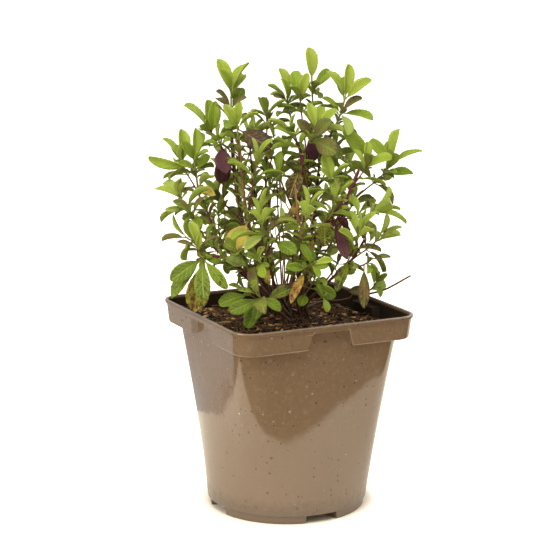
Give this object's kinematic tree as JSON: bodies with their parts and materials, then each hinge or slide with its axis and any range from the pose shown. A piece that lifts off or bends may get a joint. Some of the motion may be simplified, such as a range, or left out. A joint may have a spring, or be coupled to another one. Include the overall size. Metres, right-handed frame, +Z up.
{
  "type": "potted salvia",
  "caption": "Bushy small-leaved salvia: leafy stems that fan out of dark compost in a square-rimmed plastic nursery pot.",
  "frame": {"origin": "middle of the pot's flat underside, on the surface it stands on", "axes": "+Z up along the pot's axis; X and Y square to the pot's four sides; -Y is the wide side in the picture and -X the narrow one"},
  "size_m": [0.2314, 0.2001, 0.3834],
  "materials": {
    "pot": "glossy recycled plastic, taupe brown with fine dark and light specks",
    "compost": "loose moist peat and bark, matte",
    "leafy_stem": "satin green leaves on dark red-brown woody stems"
  },
  "bodies": {
    "root": {"pot": "pot", "compost": "compost", "tall_left": "leafy_stem", "brown_left": "leafy_stem", "thin_upright": "leafy_stem", "top_centre": "leafy_stem", "red_centre": "leafy_stem", "top_right": "leafy_stem", "red_right": "leafy_stem", "mid_right": "leafy_stem", "front_right": "leafy_stem", "low_right": "leafy_stem", "runner": "leafy_stem", "left_arch": "leafy_stem", "left_low": "leafy_stem", "front_left": "leafy_stem", "front_centre": "leafy_stem", "low_front": "leafy_stem", "low_centre": "leafy_stem", "back_left": "leafy_stem", "back_centre": "leafy_stem", "back_right": "leafy_stem", "back_low": "leafy_stem"}
  },
  "joints": []
}
